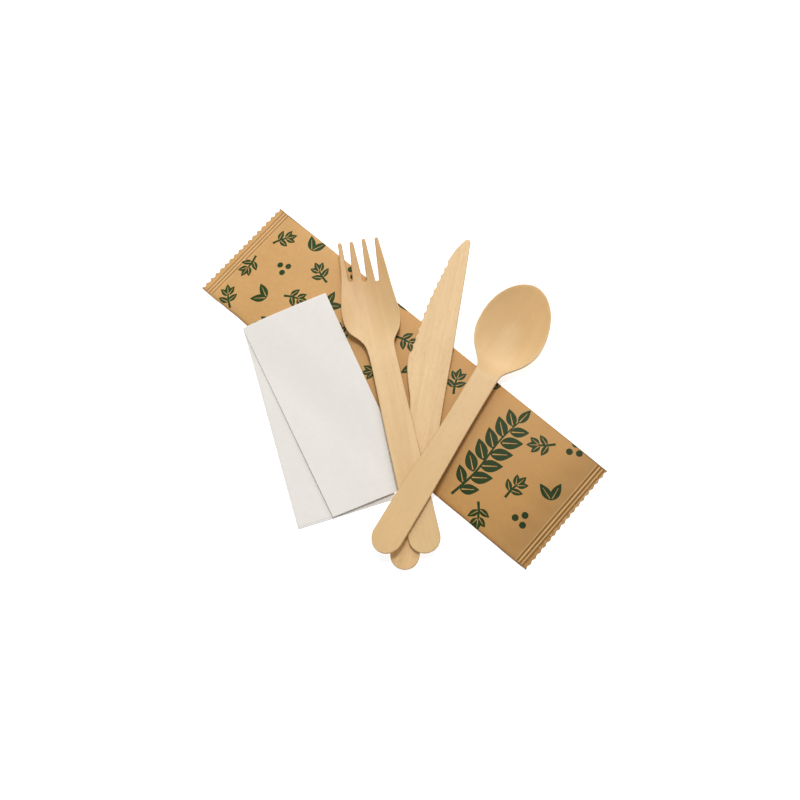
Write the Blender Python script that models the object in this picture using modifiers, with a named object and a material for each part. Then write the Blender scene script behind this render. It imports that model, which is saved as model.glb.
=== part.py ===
"""Disposable wooden cutlery set, laid out for display.

A sealed kraft-paper sachet lies flat. A folded paper napkin lies half on it and half beside it. A birch-veneer knife, fork and spoon
are fanned out on top, with their round handle ends crossed.

Units are metres, +Z is up and the set stands on z = 0. Lengths below are in millimetres and are scaled by MM where they are used.
Each piece is drawn in its own frame and laid in place by a location and a rotation. The origin is the middle of the base of the whole
set's box.
"""

import math

import bmesh
import bpy
from mathutils import Euler, Vector

MM = 0.001

# The middle of the set's box in the layout that the places below are given in
CENTRE = (-4.735, 13.1)

# Sachet: a flat pouch with a ribbed crimp and a serrated cut at each end
SACHET_LENGTH = 210.0
SACHET_WIDTH = 56.4
# How far its folded sides bow out past that width, as (place along it, distance)
SACHET_BOW_UPPER = ((-105, 0.6), (-98, 0.75), (-86, 1.0), (-73, 1.15), (-30, 1.4), (20, 1.35), (50, 1.0), (76, 0.65), (89, 0.5), (105, 0.15))
SACHET_BOW_LOWER = ((-105, 0.6), (-97, 0.55), (-88, 0.1), (-78, -0.2), (-60, 0.2), (-30, 0.9), (20, 1.5), (55, 1.4), (76, 0.85), (92, 0.5), (105, 0.1))
SACHET_END_SKEW = -0.018  # the right end isn't cut quite square
SACHET_PLACE = (-4.507, 13.355)
SACHET_YAW = -41.365
SACHET_EDGE = 0.45  # two layers of paper and the air between them
SACHET_CROWN = 2.35
TEETH = 17
TOOTH_DEPTHS = (1.1, 0.6)  # at the left end and at the right end
CRIMP_LINES = ((3.5, 5.2, 6.9), (1.5, 3.0, 4.65))  # grooves, from the cut end, at the left and at the right
CRIMP_RIDGE = 0.75
PILLOW_RUN = 24.0  # how far from the crimp the pouch reaches its full height

# Napkin: a folded packet, folded over once more at its far edge
NAPKIN_PLACE = (-44.1, -60.0)
NAPKIN_YAW = 108.98 - 90
NAPKIN_LOWER = ((-1.4, -0.1), (45.4, -1.35), (43.6, 105.5), (-0.9, 103.4))
NAPKIN_UPPER = ((15.6, -0.2), (55.4, 1.8), (43.6, 105.5), (-0.9, 103.4))
PACKET = 0.55  # thickness of the packet on each side of the fold
PACKET_GAP = 0.15
NAPKIN_LIFT = 0.9  # how far the free edge of the upper side stands up
NAPKIN_LEAVES = -14.0  # the place across the sachet where the paper leaves its crown, to span its edge
NAPKIN_DRAPE = 26.0  # how far beyond that the paper meets the table

# Cutlery
VENEER = 1.7
CLEAR = 0.3  # left between pieces that rest on each other

KNIFE_PLACE, KNIFE_HEIGHT, KNIFE_YAW, KNIFE_RISE = (4.23, -78.81), 0.9, 79.76 - 90, 0.0262
KNIFE_TEETH, KNIFE_TOOTH_DEPTH = 12, 0.72

FORK_PLACE, FORK_HEIGHT, FORK_YAW, FORK_RISE = (14.29, -71.57), 3.34, 103.38 - 90, 0.0217
FORK_DEPTH = 3.6
TINE_RADIUS, GAP_RADIUS = 0.95, 1.0

SPOON_PLACE, SPOON_HEIGHT, SPOON_YAW, SPOON_RISE = (-6.69, -70.44), 6.85, 59.6 - 90, -0.012
SPOON_DEPTH = 5.6
BOWL_CENTRE, BOWL_HALF_WIDTH, BOWL_TO_TIP, BOWL_TO_NECK = 117.5, 15.9, 22.9, 25.0


def smoothstep(a, b, x):
    t = min(max((x - a) / (b - a), 0.0), 1.0)
    return t * t * (3 - 2 * t)


def lerp(a, b, t):
    return a + (b - a) * t


# Outlines


def arc(x, y, r, start, end, steps):
    """Points on a circle from one angle to another, in degrees."""
    angles = [math.radians(lerp(start, end, i / steps)) for i in range(steps + 1)]
    return [(x + r * math.cos(a), y + r * math.sin(a)) for a in angles]


def through(points, per=4):
    """A smooth line through the points: a Catmull-Rom spline with its ends kept."""
    line = []
    for i in range(len(points) - 1):
        p0, p1, p2, p3 = (Vector(points[min(max(j, 0), len(points) - 1)]) for j in (i - 1, i, i + 1, i + 2))
        for k in range(per):
            t = k / per
            line.append(
                tuple(0.5 * (2 * p1 + (p2 - p0) * t + (2 * p0 - 5 * p1 + 4 * p2 - p3) * t * t + (3 * p1 - p0 - 3 * p2 + p3) * t**3))
            )
    return line + [tuple(points[-1])]


def knife_outline():
    """Anticlockwise from the right of the round end: the straight back, the tip, the serrated edge, the belly and the grip."""
    back = [(4.8, 7.5), (2.8, 79.8), (2.5, 105.5), (2.2, 119.3), (1.8, 139.0), (1.35, 156.5)]
    tip = arc(-0.15, 158.4, 1.5, 5, 125, 6)
    smooth_part = through([(-3.1, 157.0), (-5.2, 153.6), (-7.8, 147.4)], 4)[:-1]
    curve = through([(-7.8, 147.4), (-10.2, 139.0), (-12.2, 131.0), (-14.0, 122.3), (-15.8, 110.4), (-17.3, 99.0)], 12)
    # The teeth are spaced evenly along the edge: each one hollows it by KNIFE_TOOTH_DEPTH and leaves a rounded point.
    lengths = [0.0]
    for a, b in zip(curve, curve[1:]):
        lengths.append(lengths[-1] + math.dist(a, b))
    run, edge = lengths[-1], []
    per, j = 6, 0
    for i in range(KNIFE_TEETH * per + 1):
        along = run * i / (KNIFE_TEETH * per)
        while j < len(lengths) - 2 and lengths[j + 1] < along:
            j += 1
        t = (along - lengths[j]) / (lengths[j + 1] - lengths[j])
        p, q = Vector(curve[j]), Vector(curve[j + 1])
        inward = Vector((-(q - p).y, (q - p).x)).normalized()
        phase = i / per % 1.0
        hollow = math.sin(math.pi * phase) ** 0.8 if phase else 0.0
        edge.append(tuple(p.lerp(q, t) + inward * KNIFE_TOOTH_DEPTH * hollow))
    belly = through([(-17.3, 99.0), (-17.6, 96.4), (-17.1, 91.5), (-15.3, 84.6), (-13.1, 77.6), (-11.95, 71.0), (-11.5, 64.1)], 4)[1:]
    end = [(-8.2, 7.5)] + arc(-1.7, 7.0, 6.5, 180, 360, 16)[1:-1]
    return back + tip + smooth_part + edge + belly + end


def fork_outline():
    """Anticlockwise from the right of the round end: up the right side, over the four tines and down the left side."""
    right = through(
        [(7.15, 8.0), (6.95, 30.0), (6.45, 64.0), (6.25, 88.0), (6.3, 97.0), (6.9, 100.8), (8.7, 103.6), (10.7, 106.6), (11.9, 111.0)]
        + [(12.3, 116.0), (11.95, 121.5), (11.4, 130.0), (11.1, 138.4), (10.3, 153.6)],
        3,
    )
    tips = [(9.35, 154.6), (3.02, 155.6), (-3.12, 155.6), (-8.86, 156.5)]
    roots = [(5.2, 132.9), (-0.8, 134.1), (-7.5, 135.7)]
    crown = []
    for i, (x, y) in enumerate(tips):
        crown += arc(x, y - TINE_RADIUS, TINE_RADIUS, 5, 175, 6)
        if i < len(roots):
            crown += arc(roots[i][0], roots[i][1] + GAP_RADIUS, GAP_RADIUS, 0, -180, 6)
    left = through(
        [(-9.8, 155.0), (-10.6, 147.0), (-11.7, 138.4), (-13.7, 128.6), (-14.9, 121.0), (-15.05, 117.0), (-14.6, 112.6), (-13.0, 108.7)]
        + [(-9.9, 105.3), (-7.6, 101.4), (-6.75, 97.0), (-6.45, 88.0), (-6.75, 62.0), (-6.8, 35.0), (-7.0, 8.0)],
        3,
    )
    end = arc(0.08, 7.6, 7.1, 180, 360, 16)[1:-1]
    return right + crown + left[1:] + end


def bowl_lean(y):
    """The bowl's middle line leans a little to the left towards its tip."""
    return 0.45 * smoothstep(10, 60, y) - 1.3 * smoothstep(96, 141, y)


def spoon_outline():
    """Anticlockwise from the right of the round end: the grip, the neck and an egg-shaped bowl."""
    side = [(7.0, 7.5), (6.85, 30.0), (6.05, 60.0), (5.9, 85.0), (6.05, 94.0), (7.4, 97.4), (9.9, 100.4), (12.9, 103.9), (15.1, 107.9)]
    side += [(16.35, 112.2), (16.6, 117.0)]
    side = through(side, 3)[:-1]
    # From the widest place to the tip the edge is a superellipse.
    for i in range(11):
        a = math.pi / 2 * i / 11
        side.append((16.6 * math.cos(a) ** 1.06, 117.0 + 24.2 * math.sin(a) ** 1.0))
    right = [(x + bowl_lean(y), y) for x, y in side]
    left = [(-x + bowl_lean(y), y) for x, y in reversed(side)]
    end = [(-0.05 + 7.05 * math.cos(a), 7.2 + 7.85 * math.sin(a)) for a in (math.radians(180 + 5 * i) for i in range(1, 36))]
    return right + [(bowl_lean(141.2), 141.2)] + left + end


# Heights


def between(table, x):
    """The value at x of a line through the table's points, eased from each to the next."""
    for (x0, y0), (x1, y1) in zip(table, table[1:]):
        if x <= x1:
            return lerp(y0, y1, smoothstep(x0, x1, x))
    return table[-1][1]


def sachet_sides(u):
    """Where the sachet's lower and upper folded sides are, across it, at a place along it."""
    return -SACHET_WIDTH / 2 - between(SACHET_BOW_LOWER, u), SACHET_WIDTH / 2 + between(SACHET_BOW_UPPER, u)


def sachet_height(u, v):
    """The height of the sachet's upper face, u along it and v across it from its middle."""
    from_end = SACHET_LENGTH / 2 - abs(u)
    lines = CRIMP_LINES[u > 0]
    crimp = lines[-1] + 0.5
    if from_end < crimp + 0.4:
        if from_end < lines[0] - 0.8:
            return SACHET_EDGE + 0.1
        near = min(abs(from_end - line) for line in lines)
        return lerp(SACHET_EDGE, CRIMP_RIDGE, smoothstep(0.1, 0.8, near))
    lower, upper = sachet_sides(u)
    across = max(1 - ((2 * v - lower - upper) / (upper - lower)) ** 2, 0.0) ** 0.8
    return SACHET_EDGE + (SACHET_CROWN - SACHET_EDGE) * across * smoothstep(-0.12, 1, (from_end - crimp) / PILLOW_RUN) + 0.1 * (
        1 - smoothstep(0, 0.3, (from_end - crimp) / PILLOW_RUN)
    )


def table_height(x, y):
    """The height of what the napkin lies on, at a point of the layout: the sachet, or the table beside it."""
    yaw = math.radians(SACHET_YAW)
    dx, dy = x - SACHET_PLACE[0], y - SACHET_PLACE[1]
    u, v = dx * math.cos(yaw) + dy * math.sin(yaw), -dx * math.sin(yaw) + dy * math.cos(yaw)
    past = NAPKIN_LEAVES - v
    return (sachet_height(u, max(v, NAPKIN_LEAVES)) + CLEAR) * (1 - smoothstep(0.0, NAPKIN_DRAPE, past))


def fork_surface(x, y):
    """The middle of the pressed veneer: a dish behind the tines, which rise to their tips."""
    middle = -FORK_DEPTH * smoothstep(91, 119, y) + (FORK_DEPTH + 0.5) * smoothstep(119, 163, y) ** 0.9
    rim = -0.5 * smoothstep(98, 122, y) + 0.9 * smoothstep(126, 160, y)
    return middle + (rim - middle) * min(abs(x + 0.6) / 13.6, 1.15) ** 2.1


def spoon_surface(x, y):
    """The middle of the pressed veneer: a bowl that the grip runs down into."""
    ahead = y - BOWL_CENTRE
    radius = math.hypot((x - bowl_lean(y)) / BOWL_HALF_WIDTH, ahead / (BOWL_TO_TIP if ahead > 0 else BOWL_TO_NECK))
    drop = SPOON_DEPTH * (1 - radius**2.3)
    soft = 0.5 * (drop + math.hypot(drop, 0.6))
    return -soft + 1.3 * smoothstep(108, 143, y)


# Building


def material(name, colour, roughness):
    made = bpy.data.materials.new(name)
    made.use_nodes = True
    shader = made.node_tree.nodes["Principled BSDF"]
    shader.inputs["Base Color"].default_value = (*colour, 1.0)
    shader.inputs["Roughness"].default_value = roughness
    shader.inputs["Metallic"].default_value = 0.0
    return made


def lay(obj, place, height=0.0, yaw=0.0, rise=0.0):
    """Puts a piece in its place in the set. Its rise is how steeply it climbs along its own length."""
    obj.rotation_euler = Euler((math.atan(rise), 0.0, math.radians(yaw)), "XYZ")
    obj.location = ((place[0] - CENTRE[0]) * MM, (place[1] - CENTRE[1]) * MM, height * MM)


def flat_curve(name, outline, half_thickness, height, collection):
    """A filled flat outline, extruded both ways from the height."""
    data = bpy.data.curves.new(name, "CURVE")
    data.dimensions, data.fill_mode, data.extrude = "2D", "BOTH", half_thickness * MM
    spline = data.splines.new("POLY")
    spline.points.add(len(outline) - 1)
    for point, (x, y) in zip(spline.points, outline):
        point.co = (x * MM, y * MM, 0.0, 1.0)
    spline.use_cyclic_u = True
    curve = bpy.data.objects.new(name, data)
    collection.objects.link(curve)
    bpy.context.view_layer.update()
    mesh = bpy.data.meshes.new_from_object(curve.evaluated_get(bpy.context.evaluated_depsgraph_get()))
    mesh.name = name
    tidy = bmesh.new()
    tidy.from_mesh(mesh)
    bmesh.ops.remove_doubles(tidy, verts=tidy.verts, dist=1e-6)
    bmesh.ops.translate(tidy, verts=tidy.verts, vec=(0, 0, height * MM))
    bmesh.ops.recalc_face_normals(tidy, faces=tidy.faces)
    tidy.to_mesh(mesh)
    tidy.free()
    matrix = curve.matrix_world.copy()
    bpy.data.objects.remove(curve)
    obj = bpy.data.objects.new(name, mesh)
    obj.matrix_world = matrix
    collection.objects.link(obj)
    return obj


def grid(name, columns, rows, place, collection):
    """A sheet of quads: place gives the point for each column and row, in millimetres."""
    sheet = bmesh.new()
    nx, ny = len(columns) - 1, len(rows) - 1
    bmesh.ops.create_grid(sheet, x_segments=nx, y_segments=ny, size=1.0)
    for vert in sheet.verts:
        column, row = columns[round((vert.co.x + 1) / 2 * nx)], rows[round((vert.co.y + 1) / 2 * ny)]
        vert.co = Vector(place(column, row)) * MM
    mesh = bpy.data.meshes.new(name)
    sheet.to_mesh(mesh)
    sheet.free()
    obj = bpy.data.objects.new(name, mesh)
    collection.objects.link(obj)
    return obj


def smooth(obj, angle=40):
    obj.data.shade_smooth()
    obj.data.set_sharp_from_angle(angle=math.radians(angle))


def spaced(start, end, step):
    count = max(1, round((end - start) / step))
    return [lerp(start, end, i / count) for i in range(count + 1)]


def pressed(name, surface, half_width, flat_rows, press_from, length, step, outline, collection, cutters):
    """Veneer pressed to a surface and cut to an outline."""
    rows = list(flat_rows) + spaced(press_from, length, step)
    blank = grid(name, spaced(-half_width, half_width, step), rows, lambda x, y: (x, y, surface(x, y) + VENEER / 2), collection)
    thick = blank.modifiers.new("veneer", "SOLIDIFY")
    thick.thickness, thick.offset = VENEER * MM, 0.0
    die = flat_curve(name + "_die", outline, 14.0, 0.0, cutters)
    die.hide_render, die.display_type = True, "WIRE"
    die.parent = blank
    cut = blank.modifiers.new("die_cut", "BOOLEAN")
    cut.operation, cut.solver, cut.object = "INTERSECT", "EXACT", die
    return blank


def make_sachet(collection):
    """The upper face is a grid whose end rows are serrated. It is drawn down to a flat base."""
    half, columns = SACHET_LENGTH / 2, [i / (4 * TEETH) for i in range(4 * TEETH + 1)]
    inner = [11.0, 16.0, 23.0, 40.0, 62.0]
    left = [0.0, 2.1, 3.5, 4.35, 5.2, 6.05, 6.9, 8.1] + inner
    right = [0.0, 1.15, 1.5, 2.25, 3.0, 3.85, 4.65, 5.9] + inner
    rows = [-half + d for d in left] + [-20.0, 0.0, 20.0] + [half - d for d in reversed(right)]

    def place(column, row):
        v = lerp(*sachet_sides(row), column)
        u = row
        if abs(row) == half:
            u = math.copysign(half - TOOTH_DEPTHS[row > 0] * (1 - abs(2 * (column * TEETH % 1.0) - 1)), row)
            u += max(row / half, 0.0) * (0.3 + SACHET_END_SKEW * v)
        return (u, v, sachet_height(row, v))

    obj = grid("kraft_sachet", columns, rows, place, collection)
    solid = bmesh.new()
    solid.from_mesh(obj.data)
    drawn = bmesh.ops.extrude_face_region(solid, geom=solid.faces[:], use_keep_orig=True)
    base = [f for f in drawn["geom"] if isinstance(f, bmesh.types.BMFace)]
    for vert in [v for v in drawn["geom"] if isinstance(v, bmesh.types.BMVert)]:
        vert.co.z = 0.0
    bmesh.ops.dissolve_faces(solid, faces=base)
    bmesh.ops.recalc_face_normals(solid, faces=solid.faces)
    solid.to_mesh(obj.data)
    solid.free()
    return obj


def make_napkin(collection):
    """One side of the packet, the fold at its far edge and the other side, as one bent sheet given the packet's thickness."""
    yaw = math.radians(NAPKIN_YAW)
    columns = [i / 10 for i in range(11)]
    bend = (PACKET + PACKET_GAP) / 2
    rows = [("lower", i / 14) for i in range(15)] + [("fold", i / 5) for i in range(1, 5)] + [("upper", i / 14) for i in range(14, -1, -1)]

    def corner_point(corners, a, b):
        (x0, y0), (x1, y1), (x2, y2), (x3, y3) = corners
        return (
            lerp(lerp(x0, x1, a), lerp(x3, x2, a), b),
            lerp(lerp(y0, y1, a), lerp(y3, y2, a), b),
        )

    def place(a, row):
        side, b = row
        corners = NAPKIN_LOWER if side == "lower" else NAPKIN_UPPER
        x, y = corner_point(corners, a, 1.0 if side == "fold" else b)
        x_layout = NAPKIN_PLACE[0] + x * math.cos(yaw) - y * math.sin(yaw)
        y_layout = NAPKIN_PLACE[1] + x * math.sin(yaw) + y * math.cos(yaw)
        height = table_height(x_layout, y_layout) + PACKET / 2
        if side == "fold":
            turn = math.pi * b
            return (x, y + bend * math.sin(turn), height + bend * (1 - math.cos(turn)))
        if side == "upper":
            free = smoothstep(0.75, 0.0, b) * smoothstep(0.02, 0.5, a) * (1 - smoothstep(0.6, 0.85, a))
            # Past the lower side's right edge the upper side has nothing under it, so it comes down.
            edge = lerp(NAPKIN_LOWER[1][0], NAPKIN_LOWER[2][0], b)
            height += 2 * bend * (1 - smoothstep(0.0, 11.0, x - edge)) + NAPKIN_LIFT * free
        return (x, y, height)

    obj = grid("napkin", columns, rows, place, collection)
    thick = obj.modifiers.new("packet", "SOLIDIFY")
    thick.thickness, thick.offset = PACKET * MM, 0.0
    return obj


def main():
    for obj in list(bpy.data.objects):
        bpy.data.objects.remove(obj, do_unlink=True)
    scene = bpy.context.scene.collection
    pieces = bpy.data.collections.new("wooden_cutlery_set")
    cutters = bpy.data.collections.new("cutters")
    scene.children.link(pieces)
    scene.children.link(cutters)

    sachet = make_sachet(pieces)
    lay(sachet, SACHET_PLACE, 0.0, SACHET_YAW)
    sachet.data.materials.append(material("kraft_paper", (0.56, 0.35, 0.16), 0.7))

    napkin = make_napkin(pieces)
    lay(napkin, NAPKIN_PLACE, 0.0, NAPKIN_YAW)
    napkin.data.materials.append(material("tissue_paper", (0.82, 0.79, 0.75), 0.95))

    knife = flat_curve("knife", knife_outline(), VENEER / 2, VENEER / 2, pieces)
    rounded = knife.modifiers.new("eased_edges", "BEVEL")
    rounded.width, rounded.segments, rounded.limit_method, rounded.angle_limit = 0.22 * MM, 1, "ANGLE", math.radians(60)
    lay(knife, KNIFE_PLACE, KNIFE_HEIGHT, KNIFE_YAW, KNIFE_RISE)
    knife.data.materials.append(material("birch_knife", (0.80, 0.60, 0.36), 0.6))

    fork = pressed("fork", fork_surface, 17.0, (-2.0, 30.0, 60.0), 88.0, 160.0, 2.4, fork_outline(), pieces, cutters)
    lay(fork, FORK_PLACE, FORK_HEIGHT, FORK_YAW, FORK_RISE)
    fork.data.materials.append(material("birch_fork", (0.76, 0.54, 0.30), 0.6))

    spoon = pressed("spoon", spoon_surface, 19.0, (-2.0, 30.0, 60.0), 84.0, 144.0, 2.3, spoon_outline(), pieces, cutters)
    lay(spoon, SPOON_PLACE, SPOON_HEIGHT, SPOON_YAW, SPOON_RISE)
    spoon.data.materials.append(material("birch_spoon", (0.77, 0.55, 0.31), 0.6))

    for obj in (sachet, fork, spoon, napkin):
        smooth(obj)


main()
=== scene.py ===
"""The looks of a disposable wooden cutlery set: a knife, fork and spoon of birch veneer on a folded paper napkin and a sealed kraft-paper
sachet. Lengths below are in millimetres, in each piece's own frame, and are scaled by MM where they are used.
"""

import math

import bpy
import numpy as np
from mathutils import Euler, Matrix, Vector
from mathutils.geometry import delaunay_2d_cdt


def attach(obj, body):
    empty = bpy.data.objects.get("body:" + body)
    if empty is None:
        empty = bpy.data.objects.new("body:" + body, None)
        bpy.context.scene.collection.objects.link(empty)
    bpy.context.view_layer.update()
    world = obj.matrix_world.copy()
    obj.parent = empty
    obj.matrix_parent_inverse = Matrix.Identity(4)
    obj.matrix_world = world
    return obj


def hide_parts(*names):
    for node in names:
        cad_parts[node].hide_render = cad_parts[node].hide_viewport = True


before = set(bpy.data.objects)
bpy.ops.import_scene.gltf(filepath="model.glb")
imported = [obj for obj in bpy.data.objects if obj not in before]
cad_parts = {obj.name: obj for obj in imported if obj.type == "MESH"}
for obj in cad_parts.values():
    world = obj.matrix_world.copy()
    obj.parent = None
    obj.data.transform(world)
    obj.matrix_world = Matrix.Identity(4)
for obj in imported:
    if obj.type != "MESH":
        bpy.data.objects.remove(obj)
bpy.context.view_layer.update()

MM = 0.001

# The layout, as the solids have it
CENTRE = (-4.735, 13.1)

SACHET_LENGTH, SACHET_WIDTH = 210.0, 56.4
SACHET_BOW_UPPER = ((-105, 0.6), (-98, 0.75), (-86, 1.0), (-73, 1.15), (-30, 1.4), (20, 1.35), (50, 1.0), (76, 0.65), (89, 0.5), (105, 0.15))
SACHET_BOW_LOWER = ((-105, 0.6), (-97, 0.55), (-88, 0.1), (-78, -0.2), (-60, 0.2), (-30, 0.9), (20, 1.5), (55, 1.4), (76, 0.85), (92, 0.5), (105, 0.1))
SACHET_END_SKEW = -0.018
SACHET_PLACE, SACHET_YAW = (-4.507, 13.355), -41.365
SACHET_EDGE, SACHET_CROWN = 0.45, 2.35
TEETH, TOOTH_DEPTHS = 17, (1.1, 0.6)
CRIMP_LINES, CRIMP_RIDGE = ((3.5, 5.2, 6.9), (1.5, 3.0, 4.65)), 0.75
PILLOW_RUN = 24.0

NAPKIN_PLACE, NAPKIN_YAW = (-44.1, -60.0), 18.98
NAPKIN_LOWER = ((-1.4, -0.1), (45.4, -1.35), (43.6, 105.5), (-0.9, 103.4))
NAPKIN_UPPER = ((15.6, -0.2), (55.4, 1.8), (43.6, 105.5), (-0.9, 103.4))
PACKET, PACKET_GAP, NAPKIN_LIFT, NAPKIN_LEAVES, NAPKIN_DRAPE = 0.55, 0.15, 0.9, -14.0, 26.0
CLEAR = 0.3

VENEER = 1.7
KNIFE_PLACE, KNIFE_HEIGHT, KNIFE_YAW, KNIFE_RISE = (4.23, -78.81), 0.9, 79.76 - 90, 0.0262
KNIFE_TEETH, KNIFE_TOOTH_DEPTH = 12, 0.72
FORK_PLACE, FORK_HEIGHT, FORK_YAW, FORK_RISE = (14.29, -71.57), 3.34, 103.38 - 90, 0.0217
FORK_DEPTH, TINE_RADIUS, GAP_RADIUS = 3.6, 0.95, 1.0
SPOON_PLACE, SPOON_HEIGHT, SPOON_YAW, SPOON_RISE = (-6.69, -70.44), 6.85, 59.6 - 90, -0.012
SPOON_DEPTH = 5.6
BOWL_CENTRE, BOWL_HALF_WIDTH, BOWL_TO_TIP, BOWL_TO_NECK = 117.5, 15.9, 22.9, 25.0


# Small helpers


def smoothstep(a, b, x):
    t = min(max((x - a) / (b - a), 0.0), 1.0)
    return t * t * (3 - 2 * t)


def lerp(a, b, t):
    return a + (b - a) * t


def arc(x, y, r, start, end, steps):
    """Points on a circle from one angle to another, in degrees."""
    angles = [math.radians(lerp(start, end, i / steps)) for i in range(steps + 1)]
    return [(x + r * math.cos(a), y + r * math.sin(a)) for a in angles]


def through(points, per=4):
    """A smooth line through the points: a Catmull-Rom spline with its ends kept."""
    line = []
    for i in range(len(points) - 1):
        p0, p1, p2, p3 = (Vector(points[min(max(j, 0), len(points) - 1)]) for j in (i - 1, i, i + 1, i + 2))
        for k in range(per):
            t = k / per
            line.append(
                tuple(0.5 * (2 * p1 + (p2 - p0) * t + (2 * p0 - 5 * p1 + 4 * p2 - p3) * t * t + (3 * p1 - p0 - 3 * p2 + p3) * t**3))
            )
    return line + [tuple(points[-1])]


def spaced(start, end, step):
    count = max(1, round((end - start) / step))
    return [lerp(start, end, i / count) for i in range(count + 1)]


# Outlines of the cutlery


def knife_outline():
    back = [(4.8, 7.5), (2.8, 79.8), (2.5, 105.5), (2.2, 119.3), (1.8, 139.0), (1.35, 156.5)]
    tip = arc(-0.15, 158.4, 1.5, 5, 125, 10)
    smooth_part = through([(-3.1, 157.0), (-5.2, 153.6), (-7.8, 147.4)], 8)[:-1]
    curve = through([(-7.8, 147.4), (-10.2, 139.0), (-12.2, 131.0), (-14.0, 122.3), (-15.8, 110.4), (-17.3, 99.0)], 12)
    lengths = [0.0]
    for a, b in zip(curve, curve[1:]):
        lengths.append(lengths[-1] + math.dist(a, b))
    run, edge, per, j = lengths[-1], [], 10, 0
    for i in range(KNIFE_TEETH * per + 1):
        along = run * i / (KNIFE_TEETH * per)
        while j < len(lengths) - 2 and lengths[j + 1] < along:
            j += 1
        t = (along - lengths[j]) / (lengths[j + 1] - lengths[j])
        p, q = Vector(curve[j]), Vector(curve[j + 1])
        inward = Vector((-(q - p).y, (q - p).x)).normalized()
        phase = i / per % 1.0
        hollow = math.sin(math.pi * phase) ** 0.8 if phase else 0.0
        edge.append(tuple(p.lerp(q, t) + inward * KNIFE_TOOTH_DEPTH * hollow))
    belly = through([(-17.3, 99.0), (-17.6, 96.4), (-17.1, 91.5), (-15.3, 84.6), (-13.1, 77.6), (-11.95, 71.0), (-11.5, 64.1)], 8)[1:]
    return back + tip + smooth_part + edge + belly + [(-8.2, 7.5)] + arc(-1.7, 7.0, 6.5, 180, 360, 36)[1:-1]


def fork_outline():
    right = through(
        [(7.15, 8.0), (6.95, 30.0), (6.45, 64.0), (6.25, 88.0), (6.3, 97.0), (6.9, 100.8), (8.7, 103.6), (10.7, 106.6), (11.9, 111.0)]
        + [(12.3, 116.0), (11.95, 121.5), (11.4, 130.0), (11.1, 138.4), (10.3, 153.6)],
        8,
    )
    tips = [(9.35, 154.6), (3.02, 155.6), (-3.12, 155.6), (-8.86, 156.5)]
    roots = [(5.2, 132.9), (-0.8, 134.1), (-7.5, 135.7)]
    crown = []
    for i, (x, y) in enumerate(tips):
        crown += arc(x, y - TINE_RADIUS, TINE_RADIUS, 5, 175, 10)
        if i < len(roots):
            crown += arc(roots[i][0], roots[i][1] + GAP_RADIUS, GAP_RADIUS, 0, -180, 10)
    left = through(
        [(-9.8, 155.0), (-10.6, 147.0), (-11.7, 138.4), (-13.7, 128.6), (-14.9, 121.0), (-15.05, 117.0), (-14.6, 112.6), (-13.0, 108.7)]
        + [(-9.9, 105.3), (-7.6, 101.4), (-6.75, 97.0), (-6.45, 88.0), (-6.75, 62.0), (-6.8, 35.0), (-7.0, 8.0)],
        8,
    )
    return right + crown + left[1:] + arc(0.08, 7.6, 7.1, 180, 360, 36)[1:-1]


def bowl_lean(y):
    return 0.45 * smoothstep(10, 60, y) - 1.3 * smoothstep(96, 141, y)


def spoon_outline():
    side = [(7.0, 7.5), (6.85, 30.0), (6.05, 60.0), (5.9, 85.0), (6.05, 94.0), (7.4, 97.4), (9.9, 100.4), (12.9, 103.9), (15.1, 107.9)]
    side = through(side + [(16.35, 112.2), (16.6, 117.0)], 8)[:-1]
    steps = 44
    for i in range(steps):
        a = math.pi / 2 * i / steps
        side.append((16.6 * math.cos(a) ** 1.06, 117.0 + 24.2 * math.sin(a)))
    right = [(x + bowl_lean(y), y) for x, y in side]
    left = [(-x + bowl_lean(y), y) for x, y in reversed(side)]
    end = [(-0.05 + 7.05 * math.cos(a), 7.2 + 7.85 * math.sin(a)) for a in (math.radians(180 + 5 * i) for i in range(1, 36))]
    return right + [(bowl_lean(141.2), 141.2)] + left + end


# Heights


def flat_surface(x, y):
    return 0.0


def fork_surface(x, y):
    """The middle of the pressed veneer: a dish behind the tines, which rise to their tips."""
    middle = -FORK_DEPTH * smoothstep(91, 119, y) + (FORK_DEPTH + 0.5) * smoothstep(119, 163, y) ** 0.9
    rim = -0.5 * smoothstep(98, 122, y) + 0.9 * smoothstep(126, 160, y)
    return middle + (rim - middle) * min(abs(x + 0.6) / 13.6, 1.15) ** 2.1


def spoon_surface(x, y):
    """The middle of the pressed veneer: a bowl that the grip runs down into."""
    ahead = y - BOWL_CENTRE
    radius = math.hypot((x - bowl_lean(y)) / BOWL_HALF_WIDTH, ahead / (BOWL_TO_TIP if ahead > 0 else BOWL_TO_NECK))
    drop = SPOON_DEPTH * (1 - radius**2.3)
    soft = 0.5 * (drop + math.hypot(drop, 0.6))
    return -soft + 1.3 * smoothstep(108, 143, y)


def between(table, x):
    """The value at x of a line through the table's points, eased from each to the next."""
    for (x0, y0), (x1, y1) in zip(table, table[1:]):
        if x <= x1:
            return lerp(y0, y1, smoothstep(x0, x1, x))
    return table[-1][1]


def sachet_sides(u):
    """Where the sachet's lower and upper folded sides are, across it, at a place along it."""
    return -SACHET_WIDTH / 2 - between(SACHET_BOW_LOWER, u), SACHET_WIDTH / 2 + between(SACHET_BOW_UPPER, u)


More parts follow.
